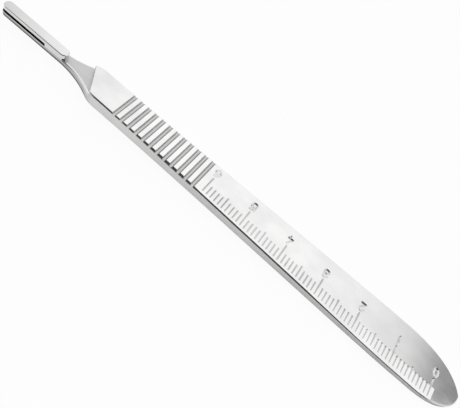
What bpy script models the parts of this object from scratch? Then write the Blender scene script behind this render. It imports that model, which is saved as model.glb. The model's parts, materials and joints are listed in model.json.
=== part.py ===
"""A flat surgical scalpel handle with an engraved centimetre scale, as one solid piece of steel.

The handle lies on its back. X runs from the tang to the tail, Y across the width, Z up out of the
scaled face, and the origin is under the middle of the whole length. Stations are distances along X
from the tip of the tang.
"""

import math

import bmesh
import bpy
import numpy as np
from mathutils import Vector
from mathutils.geometry import interpolate_bezier

MM = 0.001

# Overall sizes
LENGTH = 121.9 * MM
GRIP_WIDTH = 7.0 * MM
TAIL_WIDTH = 11.12 * MM
SHOULDER_THICKNESS = 3.38 * MM
TAIL_THICKNESS = 1.43 * MM
EDGE_BEVEL = 0.2 * MM

# Easing of the long sides between the grip width and the tail width
GRIP_EASE = 20.0 * MM
TAIL_EASE = 12.0 * MM

# Tail, blunt on the scaled side and long on the far side. Its tip is offset to the far side of
# the middle, and the far outline comes to the tip at a lean.
TAIL_NEAR_REACH = 10.2 * MM
TAIL_FAR_REACH = 15.2 * MM
TAIL_TIP_OFFSET = 0.11 * MM
TAIL_TIP_LEAN = math.radians(32.0)
NEAR_SIDE_FULLNESS = 0.92
NEAR_TIP_FULLNESS = 0.28
FAR_SIDE_FULLNESS = 0.76
FAR_TIP_FULLNESS = 0.31

# Blade tang
TANG_WIDTH = 2.25 * MM
TANG_RELIEF = 0.78 * MM
RELIEF_RAMP = 7.25 * MM
SEAT_HEIGHT = 2.15 * MM
SEAT_BEVEL = 0.5 * MM
SEAT_SPREAD = 0.05 * MM
FAR_SEAT_SPREAD = 0.35 * MM
BOSS_SETBACK = 0.3 * MM
BOSS_LENGTH = 16.7 * MM
BOSS_TOP = 3.58 * MM
BOSS_INSET = 0.06 * MM
BOSS_BEVEL = 0.12 * MM
SLOT_LENGTH = 11.6 * MM
SLOT_FLOOR = 2.1 * MM
SLOT_GAP = 0.65 * MM
SLOT_DEPTH = 0.4 * MM
SLOT_MILL_RADIUS = 2.0 * MM

# Neck and slanted shoulder, placed from the boss's rear end. The scaled side widens from there, and
# the far side a little before it.
FAR_FLARE_LEAD = 1.8 * MM
FAR_FLARE_LENGTH = 6.5 * MM
NEAR_FLARE_LENGTH = 7.5 * MM
FLARE_SLOPE = 0.5
CORNER_DROP = 0.61 * MM
CORNER_LENGTH = 3.0 * MM
SHOULDER_GAP = 6.6 * MM
SHOULDER_ANGLE = math.radians(32.0)
SHOULDER_CHAMFER = 0.15 * MM

# Cross grooves of the grip, the first set back from the shoulder
GROOVE_COUNT = 12
GROOVE_SETBACK = 8.6 * MM
GROOVE_PITCH = 1.894 * MM
GROOVE_WIDTH = 0.86 * MM
GROOVE_DEPTH = 0.4 * MM
GROOVE_DRAFT = 0.07 * MM

# Engraved scale
ZERO_FROM_TAIL = 6.6 * MM
MARK_PITCH = 1.0 * MM
MARK_EDGE_GAP = 0.75 * MM
MARK_LENGTH = 2.4 * MM
MARK_LENGTH_FIVE = 3.0 * MM
MARK_LENGTH_TEN = 4.2 * MM
MARK_WIDTH = 0.26 * MM
MARK_DEPTH = 0.12 * MM

# Shape of a quarter round drawn with one Bezier stretch
ROUND = 0.5523
CURVE_STEPS = 14
# The seat form crosses the handle's own outline, so it is drawn with other steps to keep their
# points apart
FORM_STEPS = 11
# Cutters reach this far past the faces they cut
CLEAR = 2.0 * MM
WELD = 1e-7
# Faces that meet at less than this are one flat face
FLAT = math.radians(0.1)

STEEL_COLOUR = (0.62, 0.62, 0.61, 1.0)
STEEL_ROUGHNESS = 0.32

TIP_X = -LENGTH / 2
TAIL_X = LENGTH / 2
TALLEST = max(BOSS_TOP, SHOULDER_THICKNESS) + CLEAR
BOSS_REAR = BOSS_SETBACK + BOSS_LENGTH
SHOULDER_STATION = BOSS_REAR + SHOULDER_GAP
GROOVE_START = SHOULDER_STATION + GROOVE_SETBACK
FACE_SLOPE = (SHOULDER_THICKNESS - TAIL_THICKNESS) / (LENGTH - SHOULDER_STATION)


def face_height(station):
    """Height of the scaled face, which falls evenly from the shoulder to the tail."""
    return SHOULDER_THICKNESS - FACE_SLOPE * (station - SHOULDER_STATION)


def clear_scene():
    for obj in list(bpy.data.objects):
        bpy.data.objects.remove(obj, do_unlink=True)


def new_collection(name):
    collection = bpy.data.collections.new(name)
    bpy.context.scene.collection.children.link(collection)
    return collection


def steel_material():
    material = bpy.data.materials.new("satin_steel")
    material.use_nodes = True
    shader = material.node_tree.nodes["Principled BSDF"]
    shader.inputs["Base Color"].default_value = STEEL_COLOUR
    shader.inputs["Metallic"].default_value = 1.0
    shader.inputs["Roughness"].default_value = STEEL_ROUGHNESS
    return material


def as_helper(obj):
    """Keeps a cutter or a building block out of the finished object."""
    obj.hide_render = True
    obj.display_type = "WIRE"
    return obj


def knot(x, y, handle_in=None, handle_out=None):
    """One point of an outline. A side without a handle is straight."""
    return (x, y), handle_in, handle_out


def outline_solid(name, knots, low, high, collection, steps=CURVE_STEPS):
    """A closed outline in the XY plane, filled and drawn out from low to high along Z."""
    curve = bpy.data.curves.new(name, "CURVE")
    curve.dimensions = "2D"
    curve.fill_mode = "BOTH"
    curve.resolution_u = steps
    curve.extrude = (high - low) / 2
    spline = curve.splines.new("BEZIER")
    spline.bezier_points.add(len(knots) - 1)
    spline.use_cyclic_u = True
    for point, (place, handle_in, handle_out) in zip(spline.bezier_points, knots):
        point.co = (*place, 0.0)
        point.handle_left_type = "FREE" if handle_in else "VECTOR"
        point.handle_right_type = "FREE" if handle_out else "VECTOR"
        if handle_in:
            point.handle_left = (*handle_in, 0.0)
        if handle_out:
            point.handle_right = (*handle_out, 0.0)
    drawn = bpy.data.objects.new(name + "_outline", curve)
    collection.objects.link(drawn)
    drawn.location.z = (high + low) / 2
    bpy.context.view_layer.update()
    evaluated = drawn.evaluated_get(bpy.context.evaluated_depsgraph_get())
    mesh = bpy.data.meshes.new_from_object(evaluated)
    mesh.name = name
    solid = bpy.data.objects.new(name, mesh)
    solid.matrix_world = drawn.matrix_world
    collection.objects.link(solid)
    bpy.data.objects.remove(drawn)
    bm = bmesh.new()
    bm.from_mesh(mesh)
    bmesh.ops.remove_doubles(bm, verts=bm.verts, dist=WELD)
    bmesh.ops.dissolve_limit(bm, angle_limit=FLAT, verts=[], edges=bm.edges)
    bmesh.ops.recalc_face_normals(bm, faces=bm.faces)
    bm.to_mesh(mesh)
    bm.free()
    return solid


def neck_side(side, start, length, half_tang, half_grip):
    """Knots of one side of the neck, from the tang to the grip. side is -1 near and 1 far."""
    corner_y = half_grip - CORNER_DROP
    reach = length / 3
    bend = CORNER_LENGTH / 3
    flare_end = start + length
    grip_start = flare_end + CORNER_LENGTH
    flare = knot(start, side * half_tang, None, (start + reach, side * half_tang))
    corner = knot(
        flare_end,
        side * corner_y,
        (flare_end - reach, side * (corner_y - FLARE_SLOPE * reach)),
        (flare_end + bend, side * (corner_y + FLARE_SLOPE * bend)),
    )
    grip = knot(
        grip_start,
        side * half_grip,
        (grip_start - bend, side * half_grip),
        (grip_start + GRIP_EASE, side * half_grip),
    )
    return [flare, corner, grip]


def reversed_knots(knots):
    """The same knots for a walk in the other direction."""
    return [(place, handle_out, handle_in) for place, handle_in, handle_out in reversed(knots)]


def near_knots(spread=0.0):
    """The plan outline's near side, from the tip of the nose to the tip of the tail.

    spread moves the tang, the neck and the grip out sideways, and the nose forwards.
    """
    half_tang = TANG_WIDTH / 2 + spread
    half_tail = TAIL_WIDTH / 2
    nose = ROUND * half_tang
    nose_tip = TIP_X - spread
    nose_end = nose_tip + half_tang
    flare_x = TIP_X + BOSS_REAR
    straight_x = TAIL_X - TAIL_FAR_REACH
    tail_x = TAIL_X - TAIL_NEAR_REACH
    tip_y = TAIL_TIP_OFFSET
    lean_reach = FAR_TIP_FULLNESS * (half_tail - tip_y)
    return [
        knot(nose_tip, 0.0, (nose_tip, nose), (nose_tip, -nose)),
        knot(nose_end, -half_tang, (nose_end - nose, -half_tang)),
        *neck_side(-1, flare_x, NEAR_FLARE_LENGTH, half_tang, GRIP_WIDTH / 2 + spread),
        knot(straight_x, -half_tail, (straight_x - TAIL_EASE, -half_tail)),
        knot(tail_x, -half_tail, None, (tail_x + NEAR_SIDE_FULLNESS * TAIL_NEAR_REACH, -half_tail)),
        knot(
            TAIL_X,
            tip_y,
            (TAIL_X, tip_y - NEAR_TIP_FULLNESS * (half_tail + tip_y)),
            (
                TAIL_X - math.sin(TAIL_TIP_LEAN) * lean_reach,
                tip_y + math.cos(TAIL_TIP_LEAN) * lean_reach,
            ),
        ),
    ]


def far_knots(spread=0.0):
    """The far side between the two tips, also from the tang to the tail."""
    half_tang = TANG_WIDTH / 2 + spread
    half_tail = TAIL_WIDTH / 2
    nose_end = TIP_X - spread + half_tang
    flare_x = TIP_X + BOSS_REAR - FAR_FLARE_LEAD
    tail_x = TAIL_X - TAIL_FAR_REACH
    return [
        knot(nose_end, half_tang, (nose_end - ROUND * half_tang, half_tang)),
        *neck_side(1, flare_x, FAR_FLARE_LENGTH, half_tang, GRIP_WIDTH / 2 + spread),
        knot(
            tail_x,
            half_tail,
            (tail_x - TAIL_EASE, half_tail),
            (tail_x + FAR_SIDE_FULLNESS * TAIL_FAR_REACH, half_tail),
        ),
    ]


def plan_knots(near_spread=0.0, far_spread=0.0):
    """The whole plan outline, once round."""
    return near_knots(near_spread) + reversed_knots(far_knots(far_spread))


def scale_base():
    """The line that the marks stand off from, as rows of x and y: the near side, and straight on."""
    knots = near_knots()
    points = []
    for (start, _, leave), (end, arrive, _) in zip(knots, knots[1:]):
        corners = [Vector(place) for place in (start, leave or start, arrive or end, end)]
        points += interpolate_bezier(*corners, CURVE_STEPS)
    x, y = np.array([(point.x, point.y) for point in points]).T
    return x, np.minimum.accumulate(y)


def side_profile(collection):
    """The side view, drawn across the whole width: flat back, relieved tang, falling face."""
    ramp_end = TIP_X + SHOULDER_STATION
    ramp_start = ramp_end - RELIEF_RAMP
    front = TIP_X - CLEAR
    rear = TAIL_X + CLEAR
    corners = [
        (front, TANG_RELIEF),
        (ramp_start, TANG_RELIEF),
        (ramp_end, 0.0),
        (rear, 0.0),
        (rear, face_height(LENGTH + CLEAR)),
        (front, face_height(-CLEAR)),
    ]
    half = TAIL_WIDTH / 2 + CLEAR
    profile = outline_solid(
        "side_profile", [knot(x, z) for x, z in corners], -half, half, collection
    )
    profile.rotation_euler = (math.radians(90.0), 0.0, 0.0)
    return as_helper(profile)


def seat_form(collection):
    """What the shoulder cutter leaves standing: a block with round top edges. It is just wider than
    the tang on the scaled side, and wider still on the far side, whose edge stays sharper."""
    knots = plan_knots(SEAT_SPREAD, FAR_SEAT_SPREAD)
    form = outline_solid("seat_form", knots, -CLEAR, SEAT_HEIGHT, collection, FORM_STEPS)
    add_bevel(form, "rim", SEAT_BEVEL, 4)
    return as_helper(form)


def shoulder_cutter(collection):
    """Everything above the blade seat, from before the tip to the slanted shoulder."""
    half = TAIL_WIDTH
    slant = math.tan(SHOULDER_ANGLE) * half
    shoulder_x = TIP_X + SHOULDER_STATION
    front = TIP_X - CLEAR
    corners = [
        (front, -half),
        (shoulder_x + slant, -half),
        (shoulder_x - slant, half),
        (front, half),
    ]
    knots = [knot(x, y) for x, y in corners]
    low = SEAT_HEIGHT - SEAT_BEVEL
    high = TALLEST + FACE_SLOPE * LENGTH
    cutter = outline_solid("shoulder_cutter", knots, low, high, collection)
    add_boolean(cutter, "seat", seat_form(collection), "DIFFERENCE")
    return as_helper(cutter)


def blade_boss(collection):
    """The long boss that the blade's keyhole slides over, round at both ends."""
    half = TANG_WIDTH / 2 - BOSS_INSET
    arm = ROUND * half
    front = TIP_X + BOSS_SETBACK
    rear = TIP_X + BOSS_REAR
    knots = [
        knot(front, 0.0, (front, arm), (front, -arm)),
        knot(front + half, -half, (front + half - arm, -half)),
        knot(rear - half, -half, None, (rear - half + arm, -half)),
        knot(rear, 0.0, (rear, -arm), (rear, arm)),
        knot(rear - half, half, (rear - half + arm, half)),
        knot(front + half, half, None, (front + half - arm, half)),
    ]
    foot = (TANG_RELIEF + SLOT_FLOOR) / 2
    boss = outline_solid("blade_boss", knots, foot, BOSS_TOP, collection)
    add_bevel(boss, "rim", BOSS_BEVEL)
    return as_helper(boss)


def slot_cutter(name, side, collection):
    """The path of a small disc mill that undercuts one side of the boss, in from the tip."""
    radius = SLOT_MILL_RADIUS
    inner_y = TANG_WIDTH / 2 - BOSS_INSET - SLOT_DEPTH
    centre_y = inner_y + radius
    surface_drop = radius - SLOT_DEPTH - BOSS_INSET
    end_x = TIP_X + SLOT_LENGTH - math.sqrt(radius**2 - surface_drop**2)
    front = TIP_X - CLEAR
    arm = ROUND * radius
    outer_y = centre_y + radius
    rim_x = end_x + radius
    corners = [
        knot(front, inner_y),
        knot(end_x, inner_y, None, (end_x + arm, inner_y)),
        knot(rim_x, centre_y, (rim_x, centre_y - arm), (rim_x, centre_y + arm)),
        knot(end_x, outer_y, (end_x + arm, outer_y)),
        knot(front, outer_y),
    ]
    if side < 0:
        corners = reversed_knots(
            [
                tuple((point[0], -point[1]) if point else None for point in corner)
                for corner in corners
            ]
        )
    top = SLOT_FLOOR + SLOT_GAP
    return as_helper(outline_solid(name, corners, SLOT_FLOOR, top, collection))


def face_frame(collection):
    """An empty on the scaled face above the tip, with its X axis down the face's slope."""
    frame = bpy.data.objects.new("scaled_face", None)
    frame.empty_display_size = 5.0 * MM
    frame.location = (TIP_X, 0.0, face_height(0.0))
    frame.rotation_euler = (0.0, math.atan(FACE_SLOPE), 0.0)
    collection.objects.link(frame)
    return frame


def shoulder_edge_cutter(frame, collection):
    """A long wedge that takes the sharp edge off the top of the shoulder."""
    chamfer = SHOULDER_CHAMFER
    half = TAIL_WIDTH
    corners = [(-chamfer, -2 * chamfer), (2 * chamfer, chamfer), (-chamfer, chamfer)]
    knots = [knot(behind, up) for behind, up in corners]
    cutter = outline_solid("shoulder_edge_cutter", knots, -half, half, collection)
    cutter.parent = frame
    cutter.location = (SHOULDER_STATION, 0.0, 0.0)
    cutter.rotation_euler = (math.radians(90.0), 0.0, SHOULDER_ANGLE)
    return as_helper(cutter)


def add_wedge(bm, centre, size, floor_width):
    """A box on the face whose sides draw in towards its floor. size is length, width and depth."""
    length, width, depth = size
    made = bmesh.ops.create_cube(bm, size=1.0)
    spread = (width - floor_width) / depth
    for vert in made["verts"]:
        low = vert.co.z < 0.0
        across = floor_width if low else width + spread * CLEAR
        vert.co.x = centre[0] + math.copysign(across / 2, vert.co.x)
        vert.co.y = centre[1] + vert.co.y * length
        vert.co.z = -depth if low else CLEAR
    bmesh.ops.remove_doubles(bm, verts=made["verts"], dist=WELD)


def cutter_from(bm, name, frame, collection):
    mesh = bpy.data.meshes.new(name)
    bmesh.ops.recalc_face_normals(bm, faces=bm.faces)
    bm.to_mesh(mesh)
    bm.free()
    cutter = bpy.data.objects.new(name, mesh)
    cutter.parent = frame
    collection.objects.link(cutter)
    return as_helper(cutter)


def groove_station(index):
    return GROOVE_START + GROOVE_PITCH * index


def groove_cutter(frame, collection):
    """The cross grooves of the grip, cut right across and open at both sides."""
    bm = bmesh.new()
    size = (TAIL_WIDTH + CLEAR, GROOVE_WIDTH, GROOVE_DEPTH)
    for index in range(GROOVE_COUNT):
        add_wedge(bm, (groove_station(index), 0.0), size, GROOVE_WIDTH - 2 * GROOVE_DRAFT)
    return cutter_from(bm, "grip_grooves", frame, collection)


def scale_centimetres():
    """Whole centimetres that fit between the last groove and the scale's zero."""
    grip_end = groove_station(GROOVE_COUNT - 1) + GROOVE_WIDTH / 2
    room = LENGTH - ZERO_FROM_TAIL - grip_end - MARK_PITCH
    return int(room / (10 * MARK_PITCH))


def mark_cutter(frame, collection):
    """The scale's engraved marks: longer at each fifth and tenth, zero next to the tail."""
    bm = bmesh.new()
    base_x, base_y = scale_base()
    for index in range(10 * scale_centimetres() + 1):
        station = LENGTH - ZERO_FROM_TAIL - MARK_PITCH * index
        length = MARK_LENGTH
        if index % 10 == 0:
            length = MARK_LENGTH_TEN
        elif index % 5 == 0:
            length = MARK_LENGTH_FIVE
        foot_y = np.interp(TIP_X + station, base_x, base_y) + MARK_EDGE_GAP
        size = (length, MARK_WIDTH, MARK_DEPTH)
        add_wedge(bm, (station, foot_y + length / 2), size, 0.0)
    return cutter_from(bm, "scale_marks", frame, collection)


def add_boolean(obj, name, other, operation):
    modifier = obj.modifiers.new(name, "BOOLEAN")
    modifier.object = other
    modifier.operation = operation
    modifier.solver = "EXACT"


def add_bevel(obj, name, width, segments=2):
    """Rounds the square edges and leaves the small steps along curves as they are."""
    bevel = obj.modifiers.new(name, "BEVEL")
    bevel.width = width
    bevel.segments = segments
    bevel.limit_method = "ANGLE"
    bevel.angle_limit = math.radians(50.0)
    bevel.use_clamp_overlap = False


def build_handle():
    parts = new_collection("scalpel_handle")
    helpers = new_collection("cutters")
    handle = outline_solid("scalpel_handle", plan_knots(), -CLEAR, 2 * TALLEST, parts)
    handle.data.materials.append(steel_material())
    frame = face_frame(helpers)
    add_boolean(handle, "side_view", side_profile(helpers), "INTERSECT")
    add_bevel(handle, "long_edges", EDGE_BEVEL)
    add_boolean(handle, "blade_seat", shoulder_cutter(helpers), "DIFFERENCE")
    add_boolean(handle, "shoulder_edge", shoulder_edge_cutter(frame, helpers), "DIFFERENCE")
    add_boolean(handle, "boss", blade_boss(helpers), "UNION")
    for name, side in (("slot_near", -1), ("slot_far", 1)):
        add_boolean(handle, name, slot_cutter(name, side, helpers), "DIFFERENCE")
    add_boolean(handle, "grooves", groove_cutter(frame, helpers), "DIFFERENCE")
    add_boolean(handle, "marks", mark_cutter(frame, helpers), "DIFFERENCE")
    handle.data.shade_smooth()
    handle.data.set_sharp_from_angle(angle=math.radians(30.0))
    return handle


clear_scene()
build_handle()
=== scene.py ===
"""The looks of a flat surgical scalpel handle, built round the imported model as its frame.

X runs from the blade tang to the tail, Y across the width away from the scaled edge, Z up out of
the scaled face. Stations are distances along X from the tip of the tang. The angles that arcs run
between are in degrees.
"""

import json
import math

import bmesh
import bpy
import numpy as np
from mathutils import Matrix, Vector
from mathutils.geometry import interpolate_bezier

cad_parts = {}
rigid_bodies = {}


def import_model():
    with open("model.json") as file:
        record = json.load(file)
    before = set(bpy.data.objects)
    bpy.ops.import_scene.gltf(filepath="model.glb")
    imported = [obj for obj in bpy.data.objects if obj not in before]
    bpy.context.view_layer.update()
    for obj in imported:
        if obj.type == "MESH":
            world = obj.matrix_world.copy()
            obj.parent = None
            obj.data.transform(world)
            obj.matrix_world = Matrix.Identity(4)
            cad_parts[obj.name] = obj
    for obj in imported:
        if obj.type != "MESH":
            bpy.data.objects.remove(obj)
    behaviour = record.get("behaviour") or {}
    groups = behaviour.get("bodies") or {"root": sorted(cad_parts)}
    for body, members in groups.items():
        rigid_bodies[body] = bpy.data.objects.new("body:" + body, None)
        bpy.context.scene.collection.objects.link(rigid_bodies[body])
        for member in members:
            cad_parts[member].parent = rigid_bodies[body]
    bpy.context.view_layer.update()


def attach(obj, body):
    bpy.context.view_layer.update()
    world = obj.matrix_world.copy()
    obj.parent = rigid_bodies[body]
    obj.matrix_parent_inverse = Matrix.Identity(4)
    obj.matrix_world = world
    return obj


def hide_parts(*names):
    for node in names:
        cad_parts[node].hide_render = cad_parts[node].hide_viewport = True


MM = 0.001

# Overall sizes, and the easing of the long sides between the grip width and the tail width
LENGTH = 121.9 * MM
GRIP_WIDTH = 7.0 * MM
TAIL_WIDTH = 11.12 * MM
SHOULDER_THICKNESS = 3.38 * MM
TAIL_THICKNESS = 1.43 * MM
GRIP_EASE = 20.0 * MM
TAIL_EASE = 12.0 * MM

# Tail, blunt on the scaled side and long on the far side. Its tip is offset to the far side of
# the middle, and the far outline comes to the tip at a lean.
TAIL_NEAR_REACH = 10.2 * MM
TAIL_FAR_REACH = 15.2 * MM
TAIL_TIP_OFFSET = 0.11 * MM
TAIL_TIP_LEAN = math.radians(32.0)
NEAR_SIDE_FULLNESS = 0.92
NEAR_TIP_FULLNESS = 0.28
FAR_SIDE_FULLNESS = 0.76
FAR_TIP_FULLNESS = 0.31

# Broken edges, a little wider than the solid's
EDGE_BEVEL = 0.25 * MM
BOSS_BEVEL = 0.13 * MM
BEVEL_ANGLE = math.radians(50.0)

# Blade tang and seat
TANG_WIDTH = 2.25 * MM
TANG_RELIEF = 0.78 * MM
RELIEF_RAMP = 7.25 * MM
SEAT_HEIGHT = 2.15 * MM
SEAT_BEVEL = 0.5 * MM
SEAT_BEVEL_STEPS = 8
SEAT_SPREAD = 0.05 * MM
FAR_SEAT_SPREAD = 0.35 * MM
BOSS_SETBACK = 0.3 * MM
BOSS_LENGTH = 16.7 * MM
BOSS_TOP = 3.58 * MM
BOSS_INSET = 0.06 * MM

# The boss's side slots, a little longer, lower and wider than the solid's
SLOT_LENGTH = 11.9 * MM
SLOT_FLOOR = 1.94 * MM
SLOT_GAP = 0.76 * MM
SLOT_DEPTH = 0.4 * MM
SLOT_MILL_RADIUS = 2.0 * MM

# A nick on the near side, at the foot of the boss's rear end
NICK_SETBACK = 0.25 * MM
NICK_RADIUS = 0.42 * MM
NICK_GAP = 0.4 * MM
NICK_SWEEP = 345.0

# Neck and slanted shoulder, whose top edge is eased and whose far tip is blunted above the seat
FAR_FLARE_START = 15.2 * MM
FAR_FLARE_LENGTH = 6.5 * MM
NEAR_FLARE_START = 17.0 * MM
NEAR_FLARE_LENGTH = 7.5 * MM
FLARE_SLOPE = 0.5
CORNER_DROP = 0.61 * MM
CORNER_LENGTH = 3.0 * MM
SHOULDER_STATION = 23.6 * MM
SHOULDER_ANGLE = math.radians(32.0)
SHOULDER_ROUND = 0.18 * MM
SHOULDER_ARC_RADIUS = 1.02 * SHOULDER_ROUND
SHOULDER_ARC = (85.0, 5.0)
TIP_CUT_START = (20.0 * MM, 1.05 * MM)
TIP_CUT_END = (23.4 * MM, 3.6 * MM)
TIP_CUT_LIFT = 0.03 * MM

# Cross grooves of the grip, with a lip at each side and a fillet at each side of the floor
GROOVE_COUNT = 12
GROOVE_START = 32.23 * MM
GROOVE_PITCH = 1.894 * MM
GROOVE_WIDTH = 0.94 * MM
GROOVE_DEPTH = 0.4 * MM
GROOVE_DRAFT = 0.07 * MM
GROOVE_LIP = 0.04 * MM
GROOVE_LIP_ANGLE = 70.0
GROOVE_FILLET = 0.3 * MM
GROOVE_RIM = 0.12 * MM
GROOVE_RIM_RISE = 0.012 * MM

# Engraved scale
ZERO_FROM_TAIL = 6.6 * MM
MARK_COUNT = 61
MARK_PITCH = 1.0 * MM
MARK_EDGE_GAP = 0.75 * MM
MARK_LENGTH = 2.4 * MM
MARK_LENGTH_FIVE = 3.0 * MM
MARK_LENGTH_TEN = 4.2 * MM
MARK_WIDTH = 0.26 * MM
MARK_DEPTH = 0.12 * MM

# A struck line's section: a shallow trough pressed down round it, and walls that slope to a narrow
# floor, whose width and depth are shares of the line's
MARK_TROUGH = 0.24 * MM
DIGIT_TROUGH = 0.295 * MM
TROUGH_DEPTH = 0.008 * MM
TROUGH_STEP = 0.003 * MM
STROKE_RISE = 0.05 * MM
STROKE_FLOOR_WIDTH = 0.2
STROKE_FLOOR_DEPTH = 0.95

# The marks were struck harder towards the tail. There a mark is wider, most of all at its head,
# where the tool went in.
GRIP_STRENGTH = 0.68
TAIL_STRENGTH = 1.2
MARK_HEAD = 0.3 * MM
MARK_HEAD_SPREAD = 1.7
MARK_TAIL_SPREAD = 1.3
SPREAD_STRENGTHS = (0.92, 1.1)

# Struck numbers, deeper at their feet, which are on the far side
DIGIT_GAP = 0.3 * MM
DIGIT_SCALE = 0.92
DIGIT_WIDTH = 1.2 * MM
DIGIT_HEIGHT = 1.9 * MM
STROKE_WIDTH = 0.54 * MM
STROKE_DEPTH = 0.24 * MM
DIGIT_HEIGHTS = (0.0, 0.3, 0.55, 1.0)
DIGIT_STRENGTHS = (1.0, 1.0, 0.7, 0.6)
STRUCK_NUMBERS = (0, 1, 5, 6)
STRUCK_STRENGTHS = (0.95, 1.0, 1.0, 0.6)

# The band of the face that carries the scale leans down to the edge, more and more to the tail
BAND_START = 84.0 * MM
BAND_FULL = 98.0 * MM
BAND_LEAST = 0.006
BAND_LEAN = 0.038
BAND_OVERRUN = 1.0 * MM

# The near edge is more worn along the grip's lands
WEAR_STATIONS = (30.0 * MM, 40.0 * MM, 47.0 * MM, 52.5 * MM, 56.0 * MM)
WEAR_WIDTHS = (-0.05 * MM, 0.09 * MM, 0.2 * MM, 0.12 * MM, -0.05 * MM)

# Shape of a quarter round drawn with one Bezier stretch
ROUND = 0.5523

# How many steps each curve, round end or row of sections is drawn with
CURVE_STEPS = 32
BOSS_END_STEPS = 32
SLOT_END_STEPS = 48
NICK_STEPS = 24
SHOULDER_STEPS = 6
GROOVE_STEPS = 4
WEAR_STEPS = 26
BAND_STEPS = 23
STROKE_STEPS = 12
STROKE_END_STEPS = 6

# Faces that meet at more than this keep a sharp edge, and so do nearly level ones
SHARP_ANGLE = math.radians(35.0)
LEVEL_NORMAL = 0.995

# Cutters reach this far past the faces they cut
CLEAR = 2.0 * MM
CUT_TOP = 2 * (BOSS_TOP + CLEAR)

TIP_X = -LENGTH / 2
TAIL_X = LENGTH / 2
SHOULDER_X = TIP_X + SHOULDER_STATION
ZERO_STATION = LENGTH - ZERO_FROM_TAIL
FACE_SLOPE = (SHOULDER_THICKNESS - TAIL_THICKNESS) / (LENGTH - SHOULDER_STATION)

# Centre lines of the digits' strokes, in millimetres from the lower left corner. A stroke is a run
# of points and pairs of Bezier handles, and a ring is its centre and two radii.
DIGITS = {
    0: [("ring", (0.6, 0.95), (0.58, 0.95))],
    1: [
        ("line", (0.62, 0.0), (0.62, 1.9)),
        ("line", (0.62, 1.9), (0.2, 1.45)),
    ],
    2: [
        (
            "curve",
            (0.05, 1.38), (0.05, 2.07), (1.15, 2.07),
            (1.15, 1.36), (1.15, 0.95), (0.35, 0.6),
            (0.04, 0.0),
        ),
        ("line", (0.04, 0.0), (1.2, 0.0)),
    ],
    3: [
        (
            "curve",
            (0.05, 1.52), (0.2, 2.0), (1.1, 2.05),
            (1.1, 1.42), (1.1, 1.1), (0.8, 0.98),
            (0.45, 0.98),
        ),
        (
            "curve",
            (0.45, 0.98), (0.9, 0.98), (1.2, 0.85),
            (1.2, 0.5), (1.2, -0.15), (0.15, -0.15),
            (0.0, 0.42),
        ),
    ],
    4: [
        ("line", (0.85, 1.9), (0.0, 0.55)),
        ("line", (0.0, 0.55), (1.2, 0.55)),
        ("line", (0.85, 1.9), (0.85, 0.0)),
    ],
    5: [
        ("line", (1.1, 1.9), (0.2, 1.9)),
        ("line", (0.2, 1.9), (0.1, 1.02)),
        (
            "curve",
            (0.1, 1.02), (0.45, 1.35), (1.2, 1.3),
            (1.2, 0.62), (1.2, -0.15), (0.2, -0.15),
            (0.0, 0.35),
        ),
    ],
    6: [
        ("curve", (1.05, 1.8), (0.6, 2.1), (0.0, 1.7), (0.0, 0.62)),
        ("ring", (0.6, 0.6), (0.6, 0.6)),
    ],
}

# Finishes of the steel: its grey, its roughness and how much that varies, its fine lines per metre
# and how high they are. The slots' near black grey is painted shade, not a finish.
SATIN = (0.7, 0.11, 0.03, 5000.0, 0.6e-6)
BRUSHED = (0.68, 0.32, 0.06, 3500.0, 4e-6)
POLISHED = (0.68, 0.12, 0.03, 4000.0, 1e-6)
BLASTED = (0.52, 0.45, 0.05, 3000.0, 6e-6)
MILLED = (0.47, 0.35, 0.08, 3000.0, 8e-6)
ENGRAVED = (0.6, 0.16, 0.05, 3000.0, 2e-6)
# Painted shade: the undercut slots and the nick are near black
SLOT_PAINTED_SHADE = (0.05, 0.5, 0.05, 3000.0, 4e-6)

# The fine lines are LINE_STRETCH times longer than they are wide. Clouds and pits have this many
# features per metre along X, Y and Z, and the clouds go from one share of the grey to the other.
LINE_STRETCH = 40.0
CLOUD_SCALE = (180.0, 260.0, 260.0)
PIT_SCALE = (5200.0, 5200.0, 5200.0)
FINE_DETAIL = 3.0
PIT_DETAIL = 2.0
CLOUD_DARK = (0.93, 0.93, 0.93)
CLOUD_LIGHT = (1.04, 1.04, 1.035)

# The ranges that one noise, and the sum of two, mostly stay in
NOISE_LOW = 0.3
NOISE_HIGH = 0.7
TWO_NOISES_LOW = 0.7
TWO_NOISES_HIGH = 1.3

# The tang's sides carry painted shade, standing for the shadowed floor that they reflect: darker,
# most of all in their lowest part, a painted contact shadow. Heights are over the underside.
TANG_PAINTED_SHADE = 0.64
TANG_LOW_PAINTED_SHADE = 0.1
TANG_PAINTED_SHADE_HEIGHTS = (0.45 * MM, 0.85 * MM)

# The camera, fitted to the engraved scale and the grooves in the photograph
IMAGE_WIDTH = 460.0
FOCAL_PIXELS = 487.446
SENSOR_WIDTH = 36.0
CAMERA_PLACE = Vector((1.001, -55.888, 83.55)) * MM
CAMERA_TURN = math.radians(0.8445)
CAMERA_ELEVATION = math.radians(56.0)
CAMERA_ROLL = math.radians(39.867)
CAMERA_NEAREST = 0.001
CAMERA_FARTHEST = 50.0

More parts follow.
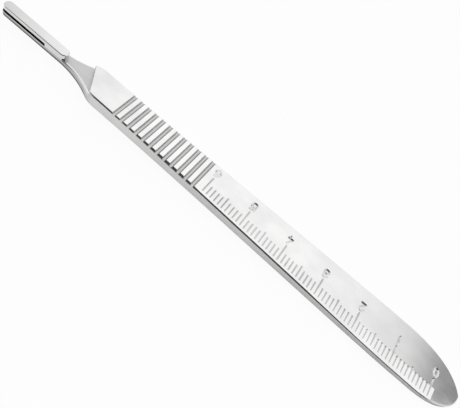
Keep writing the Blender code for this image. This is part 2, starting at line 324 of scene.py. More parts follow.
# The studio's panel. Its levels run along X, at places that lean with Y, and its front part is
# brighter. It fades into the wall between two cosines of the angle from its middle.
PANEL_LEVELS = [
    (-0.6, 0.65), (-0.56, 0.85), (-0.52, 1.0), (-0.47, 1.12), (-0.41, 1.2), (-0.28, 1.22),
    (-0.2, 1.36), (-0.05, 1.36), (0.05, 1.26), (0.2, 1.28), (0.31, 1.27), (0.357, 1.21),
    (0.39, 1.15), (0.415, 1.1), (0.436, 1.06), (0.453, 0.99), (0.467, 0.82), (0.48, 0.62),
    (0.493, 0.5), (0.507, 0.41), (0.524, 0.35), (0.56, 0.28), (0.6, 0.28), (0.66, 1.2),
]
PANEL_TOP = 2.0
PANEL_REACH = 1.0
PANEL_CENTRE_Y = 0.51
PANEL_LEAN = 0.35
PANEL_FRONT = (0.438, 0.462)
PANEL_FRONT_LEVEL = 1.32
PANEL_DIRECTION = Vector((0.0, 0.75, 0.66)).normalized()
PANEL_FADE = (0.35, 0.7)
WALL_LEVEL = 1.0

# The dark opening in front, where the camera stands
OPENING_LEFT = (-0.8, -0.3)
OPENING_RIGHT = (0.6, 0.8)
OPENING_FRONT = (0.08, 0.3)
OPENING_DARKNESS = 0.92

# The floor. Its glow is the share of white light of its own that the camera sees, and that the metal
# sees at the shoulder and at the tail.
WHITE = (1.0, 1.0, 1.0, 1.0)
FLOOR_COLOUR = (0.9, 0.9, 0.9, 1.0)
FLOOR_ROUGHNESS = 0.9
FLOOR_REACH = 3.0
FLOOR_DROP = 0.02 * MM
FLOOR_GLOW_CAMERA = 0.93
FLOOR_GLOW_SHOULDER = 0.84
FLOOR_GLOW_TAIL = 0.05


def face_height(station):
    """Height of the scaled face, which falls evenly from the shoulder to the tail."""
    return SHOULDER_THICKNESS - FACE_SLOPE * (station - SHOULDER_STATION)


# From stations and heights over the scaled face to the world, and from a side view to the world
FACE_FALL = Matrix.Rotation(math.atan(FACE_SLOPE), 4, "Y")
FACE = Matrix.Translation((TIP_X, 0.0, face_height(0.0))) @ FACE_FALL
ACROSS = Matrix.Rotation(math.radians(90.0), 4, "X")


# Outlines

def knot(x, y, handle_in=None, handle_out=None):
    """One point of an outline. A side without a handle is straight."""
    return (x, y), handle_in, handle_out


def neck_side(side, start, length, half_tang, half_grip):
    """Knots of one side of the neck, from the tang to the grip. side is -1 near and 1 far."""
    corner_y = half_grip - CORNER_DROP
    reach = length / 3
    bend = CORNER_LENGTH / 3
    flare_end = start + length
    grip_start = flare_end + CORNER_LENGTH
    flare = knot(start, side * half_tang, None, (start + reach, side * half_tang))
    corner = knot(
        flare_end,
        side * corner_y,
        (flare_end - reach, side * (corner_y - FLARE_SLOPE * reach)),
        (flare_end + bend, side * (corner_y + FLARE_SLOPE * bend)),
    )
    grip = knot(
        grip_start,
        side * half_grip,
        (grip_start - bend, side * half_grip),
        (grip_start + GRIP_EASE, side * half_grip),
    )
    return [flare, corner, grip]


def near_knots(spread=0.0):
    """The plan outline's near side, from the tip of the nose to the tip of the tail."""
    half_tang = TANG_WIDTH / 2 + spread
    half_tail = TAIL_WIDTH / 2
    nose = ROUND * half_tang
    nose_tip = TIP_X - spread
    nose_end = nose_tip + half_tang
    flare_x = TIP_X + NEAR_FLARE_START
    straight_x = TAIL_X - TAIL_FAR_REACH
    tail_x = TAIL_X - TAIL_NEAR_REACH
    tip_y = TAIL_TIP_OFFSET
    lean_reach = FAR_TIP_FULLNESS * (half_tail - tip_y)
    return [
        knot(nose_tip, 0.0, (nose_tip, nose), (nose_tip, -nose)),
        knot(nose_end, -half_tang, (nose_end - nose, -half_tang)),
        *neck_side(-1, flare_x, NEAR_FLARE_LENGTH, half_tang, GRIP_WIDTH / 2 + spread),
        knot(straight_x, -half_tail, (straight_x - TAIL_EASE, -half_tail)),
        knot(tail_x, -half_tail, None, (tail_x + NEAR_SIDE_FULLNESS * TAIL_NEAR_REACH, -half_tail)),
        knot(
            TAIL_X,
            tip_y,
            (TAIL_X, tip_y - NEAR_TIP_FULLNESS * (half_tail + tip_y)),
            (
                TAIL_X - math.sin(TAIL_TIP_LEAN) * lean_reach,
                tip_y + math.cos(TAIL_TIP_LEAN) * lean_reach,
            ),
        ),
    ]


def far_knots(spread=0.0):
    """The far side between the two tips, also from the tang to the tail."""
    half_tang = TANG_WIDTH / 2 + spread
    half_tail = TAIL_WIDTH / 2
    nose_end = TIP_X - spread + half_tang
    flare_x = TIP_X + FAR_FLARE_START
    tail_x = TAIL_X - TAIL_FAR_REACH
    return [
        knot(nose_end, half_tang, (nose_end - ROUND * half_tang, half_tang)),
        *neck_side(1, flare_x, FAR_FLARE_LENGTH, half_tang, GRIP_WIDTH / 2 + spread),
        knot(
            tail_x,
            half_tail,
            (tail_x - TAIL_EASE, half_tail),
            (tail_x + FAR_SIDE_FULLNESS * TAIL_FAR_REACH, half_tail),
        ),
    ]


def plan_knots(near_spread=0.0, far_spread=0.0):
    """The whole outline: out along the near side, and back along the far side."""
    far = [(place, leave, arrive) for place, arrive, leave in reversed(far_knots(far_spread))]
    return near_knots(near_spread) + far


def drawn(knots, closed=True):
    """The close points of an outline given by knots. Straight stretches have only their ends."""
    points = []
    followers = knots[1:] + knots[:1] if closed else knots[1:]
    for (start, _, leave), (end, arrive, _) in zip(knots, followers):
        if leave is None and arrive is None:
            points.append(start)
            continue
        corners = [Vector(place) for place in (start, leave or start, arrive or end, end)]
        points += [tuple(point) for point in interpolate_bezier(*corners, CURVE_STEPS)[:-1]]
    if not closed:
        points.append(knots[-1][0])
    return points


def arc(centre, radius, start, end, steps):
    """Points on a circle from one angle to another, in degrees."""
    angles = np.radians(np.linspace(start, end, steps + 1))
    return [(centre[0] + radius * math.cos(a), centre[1] + radius * math.sin(a)) for a in angles]


# Solids

def add_object(name, bm, material, matrix=None):
    if matrix is not None:
        bm.transform(matrix)
    bmesh.ops.recalc_face_normals(bm, faces=bm.faces)
    mesh = bpy.data.meshes.new(name)
    bm.to_mesh(mesh)
    bm.free()
    mesh.materials.append(material)
    obj = bpy.data.objects.new(name, mesh)
    bpy.context.scene.collection.objects.link(obj)
    return obj


def add_prism(bm, points, low, high):
    bottom = [bm.verts.new((x, y, low)) for x, y in points]
    top = [bm.verts.new((x, y, high)) for x, y in points]
    bm.faces.new(bottom[::-1])
    bm.faces.new(top)
    for i in range(len(points)):
        j = (i + 1) % len(points)
        bm.faces.new((bottom[i], bottom[j], top[j], top[i]))


def prism(name, points, low, high, material, matrix=None):
    bm = bmesh.new()
    add_prism(bm, points, low, high)
    return add_object(name, bm, material, matrix)


def row_prism(name, sections, material):
    """A solid on the face through a row of sections, each of them a list of points round its edge."""
    bm = bmesh.new()
    rows = [[bm.verts.new(point) for point in section] for section in sections]
    count = len(rows[0])
    bm.faces.new(rows[0])
    bm.faces.new(rows[-1][::-1])
    for first, second in zip(rows, rows[1:]):
        for i in range(count):
            j = (i + 1) % count
            bm.faces.new((first[i], second[i], second[j], first[j]))
    return add_object(name, bm, material, FACE)


def add_boolean(obj, other, operation="DIFFERENCE"):
    modifier = obj.modifiers.new(other.name, "BOOLEAN")
    modifier.object = other
    modifier.operation = operation
    modifier.solver = "EXACT"
    modifier.material_mode = "TRANSFER"


def add_bevel(obj, width, segments=1):
    """Breaks the square edges. The new faces take the object's last material."""
    bevel = obj.modifiers.new("broken_edges", "BEVEL")
    bevel.width = width
    bevel.segments = segments
    bevel.material = len(obj.data.materials) - 1
    bevel.limit_method = "ANGLE"
    bevel.angle_limit = BEVEL_ANGLE
    bevel.use_clamp_overlap = False


def side_profile(material):
    """The side view, drawn across the whole width: flat back, relieved tang, falling face."""
    front = TIP_X - CLEAR
    rear = TAIL_X + CLEAR
    corners = [
        (front, TANG_RELIEF),
        (SHOULDER_X - RELIEF_RAMP, TANG_RELIEF),
        (SHOULDER_X, 0.0),
        (rear, 0.0),
        (rear, face_height(LENGTH + CLEAR)),
        (front, face_height(-CLEAR)),
    ]
    return prism("side_profile", corners, -TAIL_WIDTH, TAIL_WIDTH, material, ACROSS)


def seat_cutter(material, rim):
    """Everything above the blade seat, from before the tip to the slanted shoulder."""
    half = TAIL_WIDTH
    slant = math.tan(SHOULDER_ANGLE) * half
    front = TIP_X - CLEAR
    corners = [
        (front, -half),
        (SHOULDER_X + slant, -half),
        (SHOULDER_X - slant, half),
        (front, half),
    ]
    outline = drawn(plan_knots(SEAT_SPREAD, FAR_SEAT_SPREAD))
    form = prism("seat_form", outline, -CLEAR, SEAT_HEIGHT, material)
    form.data.materials.append(rim)
    add_bevel(form, SEAT_BEVEL, SEAT_BEVEL_STEPS)
    cutter = prism("seat_cutter", corners, SEAT_HEIGHT - SEAT_BEVEL, CUT_TOP, material)
    add_boolean(cutter, form)
    return cutter


def shoulder_rounding(material):
    """Takes the sharp edge off the top of the shoulder."""
    size = SHOULDER_ROUND
    points = [(-size, -size), (-size, size), (size, size)]
    curve = arc((0.0, 0.0), SHOULDER_ARC_RADIUS, *SHOULDER_ARC, SHOULDER_STEPS)
    points += [(size - x, y - size) for x, y in curve]
    turn = Matrix.Translation((SHOULDER_STATION, 0.0, 0.0)) @ Matrix.Rotation(SHOULDER_ANGLE, 4, "Z")
    return prism("shoulder_rounding", points, -TAIL_WIDTH, TAIL_WIDTH, material, FACE @ turn @ ACROSS)


def shoulder_tip_cutter(material):
    """Blunts the shoulder's far tip, above the blade seat."""
    start, start_y = TIP_CUT_START
    end, end_y = TIP_CUT_END
    start_x = TIP_X + start
    end_x = TIP_X + end
    corners = [(start_x, start_y), (end_x, end_y), (end_x, TAIL_WIDTH), (start_x, TAIL_WIDTH)]
    return prism("shoulder_tip", corners, SEAT_HEIGHT + TIP_CUT_LIFT, CUT_TOP, material)


def blade_boss(material, rim):
    """The long boss that the blade's keyhole slides over, round at both ends."""
    half = TANG_WIDTH / 2 - BOSS_INSET
    front = TIP_X + BOSS_SETBACK + half
    rear = TIP_X + BOSS_SETBACK + BOSS_LENGTH - half
    points = arc((front, 0.0), half, 90, 270, BOSS_END_STEPS)
    points += arc((rear, 0.0), half, -90, 90, BOSS_END_STEPS)
    boss = prism("blade_boss", points, (TANG_RELIEF + SLOT_FLOOR) / 2, BOSS_TOP, material)
    boss.data.materials.append(rim)
    add_bevel(boss, BOSS_BEVEL)
    return boss


def slot_cutters(material):
    """The paths of a small disc mill that undercuts both sides of the boss, in from the tip, and
    the nick at the boss's rear end."""
    radius = SLOT_MILL_RADIUS
    inner_y = TANG_WIDTH / 2 - BOSS_INSET - SLOT_DEPTH
    centre_y = inner_y + radius
    surface_drop = radius - SLOT_DEPTH - BOSS_INSET
    end_x = TIP_X + SLOT_LENGTH - math.sqrt(radius**2 - surface_drop**2)
    front = TIP_X - CLEAR
    end = arc((end_x, centre_y), radius, -90, 90, SLOT_END_STEPS)
    points = [(front, inner_y), *end, (front, centre_y + radius)]
    bm = bmesh.new()
    for side in (1, -1):
        add_prism(bm, [(x, side * y) for x, y in points], SLOT_FLOOR, SLOT_FLOOR + SLOT_GAP)
    rear = TIP_X + BOSS_SETBACK + BOSS_LENGTH
    centre = (rear - NICK_SETBACK, -TANG_WIDTH / 2 + BOSS_INSET)
    nick = arc(centre, NICK_RADIUS, 0, NICK_SWEEP, NICK_STEPS)
    add_prism(bm, nick, SEAT_HEIGHT, SEAT_HEIGHT + NICK_GAP)
    return add_object("slot_cutters", bm, material)


def groove_cutter(material):
    """The cross grooves of the grip, with eased lips and filleted floors."""
    half = GROOVE_WIDTH / 2
    rim = half + GROOVE_RIM
    lip_x = half + GROOVE_LIP
    lip = arc((0.0, 0.0), GROOVE_LIP, GROOVE_LIP_ANGLE, 0, GROOVE_STEPS)
    fillet_centre = (half - GROOVE_DRAFT - GROOVE_FILLET, -GROOVE_DEPTH + GROOVE_FILLET)
    fillet = arc(fillet_centre, GROOVE_FILLET, 0, -90, GROOVE_STEPS)
    right = [(rim, GROOVE_RIM_RISE), *[(lip_x - x, z - GROOVE_LIP) for x, z in lip], *fillet]
    left = [(-x, z) for x, z in reversed(right)]
    profile = [(rim, CLEAR), *right, *left, (-rim, CLEAR)]
    bm = bmesh.new()
    for index in range(GROOVE_COUNT):
        station = GROOVE_START + GROOVE_PITCH * index
        add_prism(bm, [(station + x, z) for x, z in profile], -TAIL_WIDTH, TAIL_WIDTH)
    return add_object("grip_grooves", bm, material, FACE @ ACROSS)


def scale_base():
    """The line that the marks stand off from: the near side, and straight on from its widest point."""
    x, y = np.array(drawn(near_knots(), closed=False)).T
    return x, np.minimum.accumulate(y)


def base_at(station):
    return float(np.interp(TIP_X + station, *scale_base()))


def mark_foot(station):
    return base_at(station) + MARK_EDGE_GAP


def edge_wear(material):
    """Widens the near edge's bevel along the lands of the grip."""
    sections = []
    for station in np.linspace(WEAR_STATIONS[0], WEAR_STATIONS[-1], WEAR_STEPS + 1):
        edge = base_at(station)
        width = EDGE_BEVEL + float(np.interp(station, WEAR_STATIONS, WEAR_WIDTHS))
        sections.append([
            (station, edge - CLEAR, -width - CLEAR),
            (station, edge + width + CLEAR, CLEAR),
            (station, edge - CLEAR, CLEAR),
        ])
    return row_prism("edge_wear", sections, material)


def band_cutter(material):
    """What the scale's band loses: a wedge that is nothing at the marks' far ends."""
    sections = []
    for station in np.linspace(BAND_START, ZERO_STATION + BAND_OVERRUN, BAND_STEPS + 1):
        near = mark_foot(station) - 2 * MARK_EDGE_GAP
        far = mark_foot(station) + MARK_LENGTH
        lean = float(np.interp(station, (BAND_START, BAND_FULL), (BAND_LEAST, BAND_LEAN)))
        sections.append([
            (station, near, lean * (near - far)),
            (station, far + MARK_EDGE_GAP, lean * MARK_EDGE_GAP),
            (station, far + MARK_EDGE_GAP, CLEAR),
            (station, near, CLEAR),
        ])
    return row_prism("scale_band", sections, material)


# Struck lines

def stroke_section(half, depth, trough, strength, spread=1.0):
    """Half of a stroke's section as offsets and heights, from its trough's rim to its centre line."""
    core = half * spread
    deep = depth * strength
    return [
        (trough, STROKE_RISE),
        (trough, -TROUGH_STEP),
        (core, -TROUGH_STEP - TROUGH_DEPTH * strength),
        (STROKE_FLOOR_WIDTH * core, -STROKE_FLOOR_DEPTH * deep),
        (0.0, -deep),
    ]


def add_round_end(bm, row, place, across, ahead, section):
    """Closes the end of a stroke with a half turn of its section, from the left of its last row
    round to the right."""
    middle = len(row) // 2
    fans = [row[: middle + 1]]
    for step in range(1, STROKE_END_STEPS):
        angle = math.pi * step / STROKE_END_STEPS
        out = math.cos(angle) * across + math.sin(angle) * ahead
        fan = [bm.verts.new((*(place + out * offset), height)) for offset, height in section[:-1]]
        fans.append(fan + [row[middle]])
    fans.append(row[middle:][::-1])
    for first, second in zip(fans, fans[1:]):
        for k in range(middle - 1):
            bm.faces.new((first[k], first[k + 1], second[k + 1], second[k]))
        bm.faces.new((first[middle - 1], first[middle], second[middle - 1]))
    bm.faces.new([fan[0] for fan in fans])


def add_stroke(bm, points, sections, closed=False):
    """A cutter along a centre line on the face. Each point has its own section, all of one length,
    and an open stroke is rounded at both ends."""
    line = np.array(points)
    count = len(line)
    if closed:
        along = np.roll(line, -1, axis=0) - np.roll(line, 1, axis=0)
    else:
        along = np.gradient(line, axis=0)
    along /= np.linalg.norm(along, axis=1)[:, None]
    side = np.stack([-along[:, 1], along[:, 0]], axis=1)
    rows = []
    for place, across, section in zip(line, side, sections):
        left = [bm.verts.new((*(place + across * offset), height)) for offset, height in section]
        right = [bm.verts.new((*(place - across * offset), height)) for offset, height in section[:-1]]
        rows.append(left + right[::-1])
    last = len(rows[0]) - 1
    for i in range(count if closed else count - 1):
        j = (i + 1) % count
        for k in range(last):
            bm.faces.new((rows[i][k], rows[i][k + 1], rows[j][k + 1], rows[j][k]))
        bm.faces.new((rows[i][last], rows[i][0], rows[j][0], rows[j][last]))
    if not closed:
        for end, sign in ((0, -1), (-1, 1)):
            add_round_end(bm, rows[end], line[end], side[end], sign * along[end], sections[end])


def strength_at(index):
    """How hard a mark was struck, from zero next to the tail to the last one at the grip."""
    return TAIL_STRENGTH + (GRIP_STRENGTH - TAIL_STRENGTH) * index / (MARK_COUNT - 1)


def mark_length(index):
    if index % 10 == 0:
        return MARK_LENGTH_TEN
    if index % 5 == 0:
        return MARK_LENGTH_FIVE
    return MARK_LENGTH


def mark_cutter(material):
    """The scale's marks: longer at each fifth and tenth, zero next to the tail."""
    half = MARK_WIDTH / 2
    bm = bmesh.new()
    for index in range(MARK_COUNT):
        station = ZERO_STATION - MARK_PITCH * index
        foot = mark_foot(station)
        head = foot + mark_length(index) - half
        points = [(station, foot + half), (station, head - MARK_HEAD), (station, head)]
        strength = strength_at(index)
        wide = float(np.interp(strength, SPREAD_STRENGTHS, (1.0, MARK_TAIL_SPREAD)))
        widest = float(np.interp(strength, SPREAD_STRENGTHS, (1.0, MARK_HEAD_SPREAD)))
        sections = [
            stroke_section(half, MARK_DEPTH, MARK_TROUGH, strength * spread, spread)
            for spread in (wide, wide, widest)
        ]
        add_stroke(bm, points, sections)
    return add_object("scale_marks", bm, material, FACE)


def stroke_points(kind, *numbers):
    """The centre line of one stroke, in millimetres from the digit's lower left corner."""
    if kind == "ring":
        (x, y), (rx, ry) = numbers
        angles = np.linspace(0.0, 2 * math.pi, 4 * STROKE_STEPS, endpoint=False)
        return [(x + rx * math.cos(a), y + ry * math.sin(a)) for a in angles]
    if kind == "line":
        return list(numbers)
    points = []
    for i in range(0, len(numbers) - 1, 3):
        corners = [Vector(place) for place in numbers[i : i + 4]]
        points += [tuple(point) for point in interpolate_bezier(*corners, STROKE_STEPS)[:-1]]
    return points + [numbers[-1]]


def add_digit_stroke(bm, number, kind, *numbers):
    """One stroke of a digit, which stands over its long mark and reads from the tail to the grip."""
    station = ZERO_STATION - 10 * MARK_PITCH * number
    top = mark_foot(station) + MARK_LENGTH_TEN + DIGIT_GAP + STROKE_WIDTH / 2
    struck = float(np.interp(number, STRUCK_NUMBERS, STRUCK_STRENGTHS))
    points = []
    sections = []
    for u, v in stroke_points(kind, *numbers):
        x = station + DIGIT_SCALE * (DIGIT_WIDTH / 2 - u * MM)
        y = top + DIGIT_SCALE * (DIGIT_HEIGHT - v * MM)
        points.append((x, y))
        strength = struck * float(np.interp(v * MM / DIGIT_HEIGHT, DIGIT_HEIGHTS, DIGIT_STRENGTHS))
        sections.append(stroke_section(STROKE_WIDTH / 2, STROKE_DEPTH, DIGIT_TROUGH, strength))
    add_stroke(bm, points, sections, closed=kind == "ring")


def digit_cutters(material):
    """One cutter for each round of strokes, so that no cutter crosses itself."""
    cutters = []
    for order in range(max(len(strokes) for strokes in DIGITS.values())):
        bm = bmesh.new()
        for number, strokes in DIGITS.items():
            if order < len(strokes):
                add_digit_stroke(bm, number, *strokes[order])
        cutters.append(add_object(f"digits_{order}", bm, material, FACE))
    return cutters


# Materials

class Nodes:
    """A short way to add shader nodes to a tree."""

    def __init__(self, tree):
        self.tree = tree

    def add(self, kind, inputs=(), **settings):
        node = self.tree.nodes.new(kind)
        for name, value in settings.items():
            setattr(node, name, value)
        for name, value in dict(inputs).items():
            socket = node.inputs[name]
            if isinstance(value, bpy.types.NodeSocket):
                self.tree.links.new(value, socket)
            else:
                socket.default_value = value
        return node

    def calculate(self, operation, first, second):
        return self.add("ShaderNodeMath", {0: first, 1: second}, operation=operation).outputs[0]

    def mix(self, share, first, second):
        return self.add("ShaderNodeMix", {"Factor": share, "A": first, "B": second}).outputs[0]

    def mix_colours(self, share, first, second):
        """A colour mix, whose colours are the seventh and eighth inputs and the third output."""
        node = self.add("ShaderNodeMix", {0: share, 6: first, 7: second}, data_type="RGBA")
        return node.outputs[2]

    def darken(self, colour, share):
        node = self.add("ShaderNodeVectorMath", {0: colour, "Scale": share}, operation="SCALE")
        return node.outputs[0]

    def noise(self, coordinates, scale, detail):
        """Noise over the object, whose scale is in features per metre along X, Y and Z."""
        mapped = self.add("ShaderNodeMapping", {"Vector": coordinates, "Scale": scale}).outputs[0]
        texture = self.add("ShaderNodeTexNoise", {"Vector": mapped, "Scale": 1.0, "Detail": detail})
        return texture.outputs[0]

    def spread(self, value, low, high, start=NOISE_LOW, end=NOISE_HIGH):
        """Low to high as a value passes from start to end."""
        node = self.add(
            "ShaderNodeMapRange",
            {"Value": value, "From Min": start, "From Max": end, "To Min": low, "To Max": high},
        )
        return node.outputs[0]

    def rising(self, value, start, end):
        """0 to 1 as a value passes from start to end, eased at both."""
        node = self.add(
            "ShaderNodeMapRange",
            {"Value": value, "From Min": start, "From Max": end},
            interpolation_type="SMOOTHSTEP",
        )
        return node.outputs[0]


def painted_tang_shade(nodes, place, shade):
    """Painted shade on a side: how much of the colour is left, all of it on the grip, and the given
    share on the tang, with less in its lowest part."""
    split = nodes.add("ShaderNodeSeparateXYZ", {"Vector": place})
    along = split.outputs["X"]
    under = nodes.spread(along, TANG_RELIEF, 0.0, SHOULDER_X - RELIEF_RAMP, SHOULDER_X)
    above = nodes.calculate("SUBTRACT", split.outputs["Z"], under)
    low = nodes.spread(above, TANG_LOW_PAINTED_SHADE, shade, *TANG_PAINTED_SHADE_HEIGHTS)
    return nodes.spread(along, low, 1.0, SHOULDER_X, SHOULDER_X + CORNER_LENGTH)


def steel(name, grey, roughness, variation, grain, grain_height, painted_shade=1.0):
    """Steel with fine lines along X, a cloudy finish and small pits. A share below 1 paints shade
    on the tang's sides.
    """
    material = bpy.data.materials.new(name)
    material.use_nodes = True
    tree = material.node_tree
    nodes = Nodes(tree)
    shader = tree.nodes["Principled BSDF"]
    shader.inputs["Metallic"].default_value = 1.0
    place = nodes.add("ShaderNodeTexCoord").outputs["Object"]
    lines = nodes.noise(place, (grain / LINE_STRETCH, grain, grain), FINE_DETAIL)
    clouds = nodes.noise(place, CLOUD_SCALE, FINE_DETAIL)
    pits = nodes.noise(place, PIT_SCALE, PIT_DETAIL)
    least = roughness - variation
    most = roughness + variation
    both = nodes.calculate("ADD", lines, clouds)
    rough = nodes.spread(both, least, most, TWO_NOISES_LOW, TWO_NOISES_HIGH)
    tree.links.new(rough, shader.inputs["Roughness"])
    dark = (*[grey * share for share in CLOUD_DARK], 1.0)
    light = (*[grey * share for share in CLOUD_LIGHT], 1.0)
    colour = nodes.mix_colours(nodes.spread(clouds, 0.0, 1.0), dark, light)
    # Painted shade on the tang's sides, darkest low down
    if painted_shade < 1.0:
        colour = nodes.darken(colour, painted_tang_shade(nodes, place, painted_shade))
    tree.links.new(colour, shader.inputs["Base Color"])
    height = nodes.calculate("ADD", lines, pits)
    bump = nodes.add("ShaderNodeBump", {"Height": height, "Strength": 1.0, "Distance": grain_height})
    tree.links.new(bump.outputs[0], shader.inputs["Normal"])
    return material


def floor_material():
    """A white studio floor that keeps the object's shadow. The camera sees it near pure white, and
    so in part does the metal."""
    material = bpy.data.materials.new("studio_floor")
    material.use_nodes = True
    tree = material.node_tree
    nodes = Nodes(tree)
    shader = tree.nodes["Principled BSDF"]
    shader.inputs["Base Color"].default_value = FLOOR_COLOUR
    shader.inputs["Roughness"].default_value = FLOOR_ROUGHNESS
    shader.inputs["Specular IOR Level"].default_value = 0.0
    path = nodes.add("ShaderNodeLightPath")
    to_camera = nodes.calculate("MULTIPLY", path.outputs["Is Camera Ray"], FLOOR_GLOW_CAMERA)
    place = nodes.add("ShaderNodeTexCoord").outputs["Object"]
    along = nodes.add("ShaderNodeSeparateXYZ", {"Vector": place}).outputs["X"]
    graded = nodes.spread(along, FLOOR_GLOW_SHOULDER, FLOOR_GLOW_TAIL, SHOULDER_X, TAIL_X)
    to_metal = nodes.calculate("MULTIPLY", path.outputs["Is Glossy Ray"], graded)
    share = nodes.calculate("ADD", to_camera, to_metal)
    glow = nodes.add("ShaderNodeEmission", {"Color": WHITE, "Strength": 1.0})
    mix = nodes.add("ShaderNodeMixShader", {0: share, 1: shader.outputs[0], 2: glow.outputs[0]})
    tree.links.new(mix.outputs[0], tree.nodes["Material Output"].inputs["Surface"])
    return material


# Studio

def panel_level(nodes, x, y):
    """The panel's levels along X, at places that lean with Y, and its brighter front part."""
    lean = nodes.calculate("MULTIPLY", nodes.calculate("SUBTRACT", y, PANEL_CENTRE_Y), PANEL_LEAN)
    place = nodes.calculate("ADD", x, lean)
    share = nodes.spread(place, 0.0, 1.0, -PANEL_REACH, PANEL_REACH)
    ramp = nodes.add("ShaderNodeValToRGB", {"Fac": share})
    bands = ramp.color_ramp.elements
    bands.remove(bands[0])
    for index, (u, strength) in enumerate(PANEL_LEVELS):
        position = (u + PANEL_REACH) / (2 * PANEL_REACH)
        band = bands.new(position) if index else bands[0]
        band.position = position
        band.color = (*[strength / PANEL_TOP] * 3, 1.0)
    graded = nodes.calculate("MULTIPLY", ramp.outputs[0], PANEL_TOP)
    return nodes.mix(nodes.rising(y, *PANEL_FRONT), PANEL_FRONT_LEVEL, graded)


def build_world():
    """White studio: a long panel behind and overhead, dark at its right end, and a dark front
    opening where the camera stands, with a white wall on each side of it."""
    world = bpy.data.worlds.new("studio")
    bpy.context.scene.world = world
    world.use_nodes = True
    tree = world.node_tree
    nodes = Nodes(tree)
    direction = nodes.add("ShaderNodeTexCoord").outputs["Generated"]
    split = nodes.add("ShaderNodeSeparateXYZ", {"Vector": direction})
    x = split.outputs["X"]
    y = split.outputs["Y"]
    facing = nodes.add(
        "ShaderNodeVectorMath",
        {0: direction, 1: PANEL_DIRECTION},
        operation="DOT_PRODUCT",
    )
    on_panel = nodes.rising(facing.outputs["Value"], *PANEL_FADE)
    level = nodes.mix(on_panel, WALL_LEVEL, panel_level(nodes, x, y))
    inside = nodes.calculate("SUBTRACT", nodes.rising(x, *OPENING_LEFT), nodes.rising(x, *OPENING_RIGHT))
    ahead = nodes.rising(nodes.calculate("MULTIPLY", y, -1.0), *OPENING_FRONT)
    dark = nodes.calculate("MULTIPLY", nodes.calculate("MULTIPLY", inside, ahead), OPENING_DARKNESS)
    lit = nodes.calculate("MULTIPLY", level, nodes.calculate("SUBTRACT", 1.0, dark))
    path = nodes.add("ShaderNodeLightPath")
    shown = nodes.mix(path.outputs["Is Camera Ray"], lit, 1.0)
    background = tree.nodes["Background"]
    background.inputs["Color"].default_value = WHITE
    tree.links.new(shown, background.inputs["Strength"])


def build_camera():
    turn, rise, roll = CAMERA_TURN, CAMERA_ELEVATION, CAMERA_ROLL
    level_right = Vector((math.cos(turn), math.sin(turn), 0.0))
    level_ahead = Vector((-math.sin(turn), math.cos(turn), 0.0))
    forward = math.cos(rise) * level_ahead - math.sin(rise) * Vector((0.0, 0.0, 1.0))
    level_up = level_right.cross(forward)
    right = math.cos(roll) * level_right + math.sin(roll) * level_up
    up = math.cos(roll) * level_up - math.sin(roll) * level_right
    data = bpy.data.cameras.new("camera")
    data.sensor_width = SENSOR_WIDTH
    data.lens = FOCAL_PIXELS * SENSOR_WIDTH / IMAGE_WIDTH
    data.clip_start = CAMERA_NEAREST
    data.clip_end = CAMERA_FARTHEST
    camera = bpy.data.objects.new("camera", data)
    rotation = Matrix((right, up, -forward)).transposed().to_4x4()
    camera.matrix_world = Matrix.Translation(CAMERA_PLACE) @ rotation
    bpy.context.scene.collection.objects.link(camera)
    bpy.context.scene.camera = camera


def build_floor():
    bm = bmesh.new()
    bmesh.ops.create_grid(bm, x_segments=1, y_segments=1, size=FLOOR_REACH)
    floor = add_object("studio_floor", bm, floor_material())
    floor.location.z = -FLOOR_DROP


# Handle

def apply_modifiers(obj):
    bpy.context.view_layer.update()
    evaluated = obj.evaluated_get(bpy.context.evaluated_depsgraph_get())
    mesh = bpy.data.meshes.new_from_object(evaluated)
    obj.modifiers.clear()
    obj.data = mesh


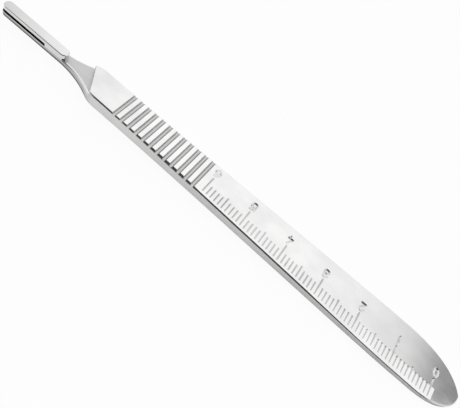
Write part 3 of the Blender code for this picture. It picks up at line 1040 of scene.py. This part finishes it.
def keep_flat(mesh):
    """Shades the nearly level faces flat, so that none of them bends what it reflects."""
    bm = bmesh.new()
    bm.from_mesh(mesh)
    for edge in bm.edges:
        if all(face.normal.z > LEVEL_NORMAL for face in edge.link_faces):
            edge.smooth = False
    bm.to_mesh(mesh)
    bm.free()


def shade(obj):
    obj.data.shade_smooth()
    obj.data.set_sharp_from_angle(angle=SHARP_ANGLE)
    keep_flat(obj.data)
    weighted = obj.modifiers.new("flat_faces", "WEIGHTED_NORMAL")
    weighted.keep_sharp = True


def build_handle():
    """The whole handle as one mesh, with its edges broken, and its scale and numbers struck."""
    others = list(bpy.data.objects)
    satin = steel("satin_face", *SATIN)
    # The sides' brushed steel also carries painted shade on the tang
    side = steel("brushed_side", *BRUSHED, TANG_PAINTED_SHADE)
    edge = steel("polished_edge", *POLISHED)
    blasted = steel("blasted_seat", *BLASTED)
    milled = steel("milled_groove", *MILLED)
    cut = steel("engraved_line", *ENGRAVED)
    # Near black painted shade for the undercut slots and the nick
    painted_slot_shade = steel("slot_recess", *SLOT_PAINTED_SHADE)
    handle = prism("handle", drawn(plan_knots()), -CLEAR, CUT_TOP, side)
    handle.data.materials.append(satin)
    handle.data.materials.append(edge)
    add_boolean(handle, side_profile(satin), "INTERSECT")
    add_bevel(handle, EDGE_BEVEL)
    add_boolean(handle, seat_cutter(blasted, edge))
    add_boolean(handle, shoulder_rounding(side))
    add_boolean(handle, shoulder_tip_cutter(side))
    add_boolean(handle, blade_boss(satin, edge), "UNION")
    # The slots and the nick take the near black painted shade
    add_boolean(handle, slot_cutters(painted_slot_shade))
    add_boolean(handle, edge_wear(edge))
    add_boolean(handle, groove_cutter(milled))
    add_boolean(handle, band_cutter(satin))
    add_boolean(handle, mark_cutter(cut))
    for cutter in digit_cutters(cut):
        add_boolean(handle, cutter)
    apply_modifiers(handle)
    for helper in [obj for obj in bpy.data.objects if obj not in others and obj != handle]:
        bpy.data.objects.remove(helper)
    shade(handle)
    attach(handle, "root")
    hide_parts("scalpel_handle")


for leftover in list(bpy.data.objects):
    bpy.data.objects.remove(leftover)
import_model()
build_camera()
build_world()
build_floor()
build_handle()
bpy.context.scene.view_settings.view_transform = "Standard"
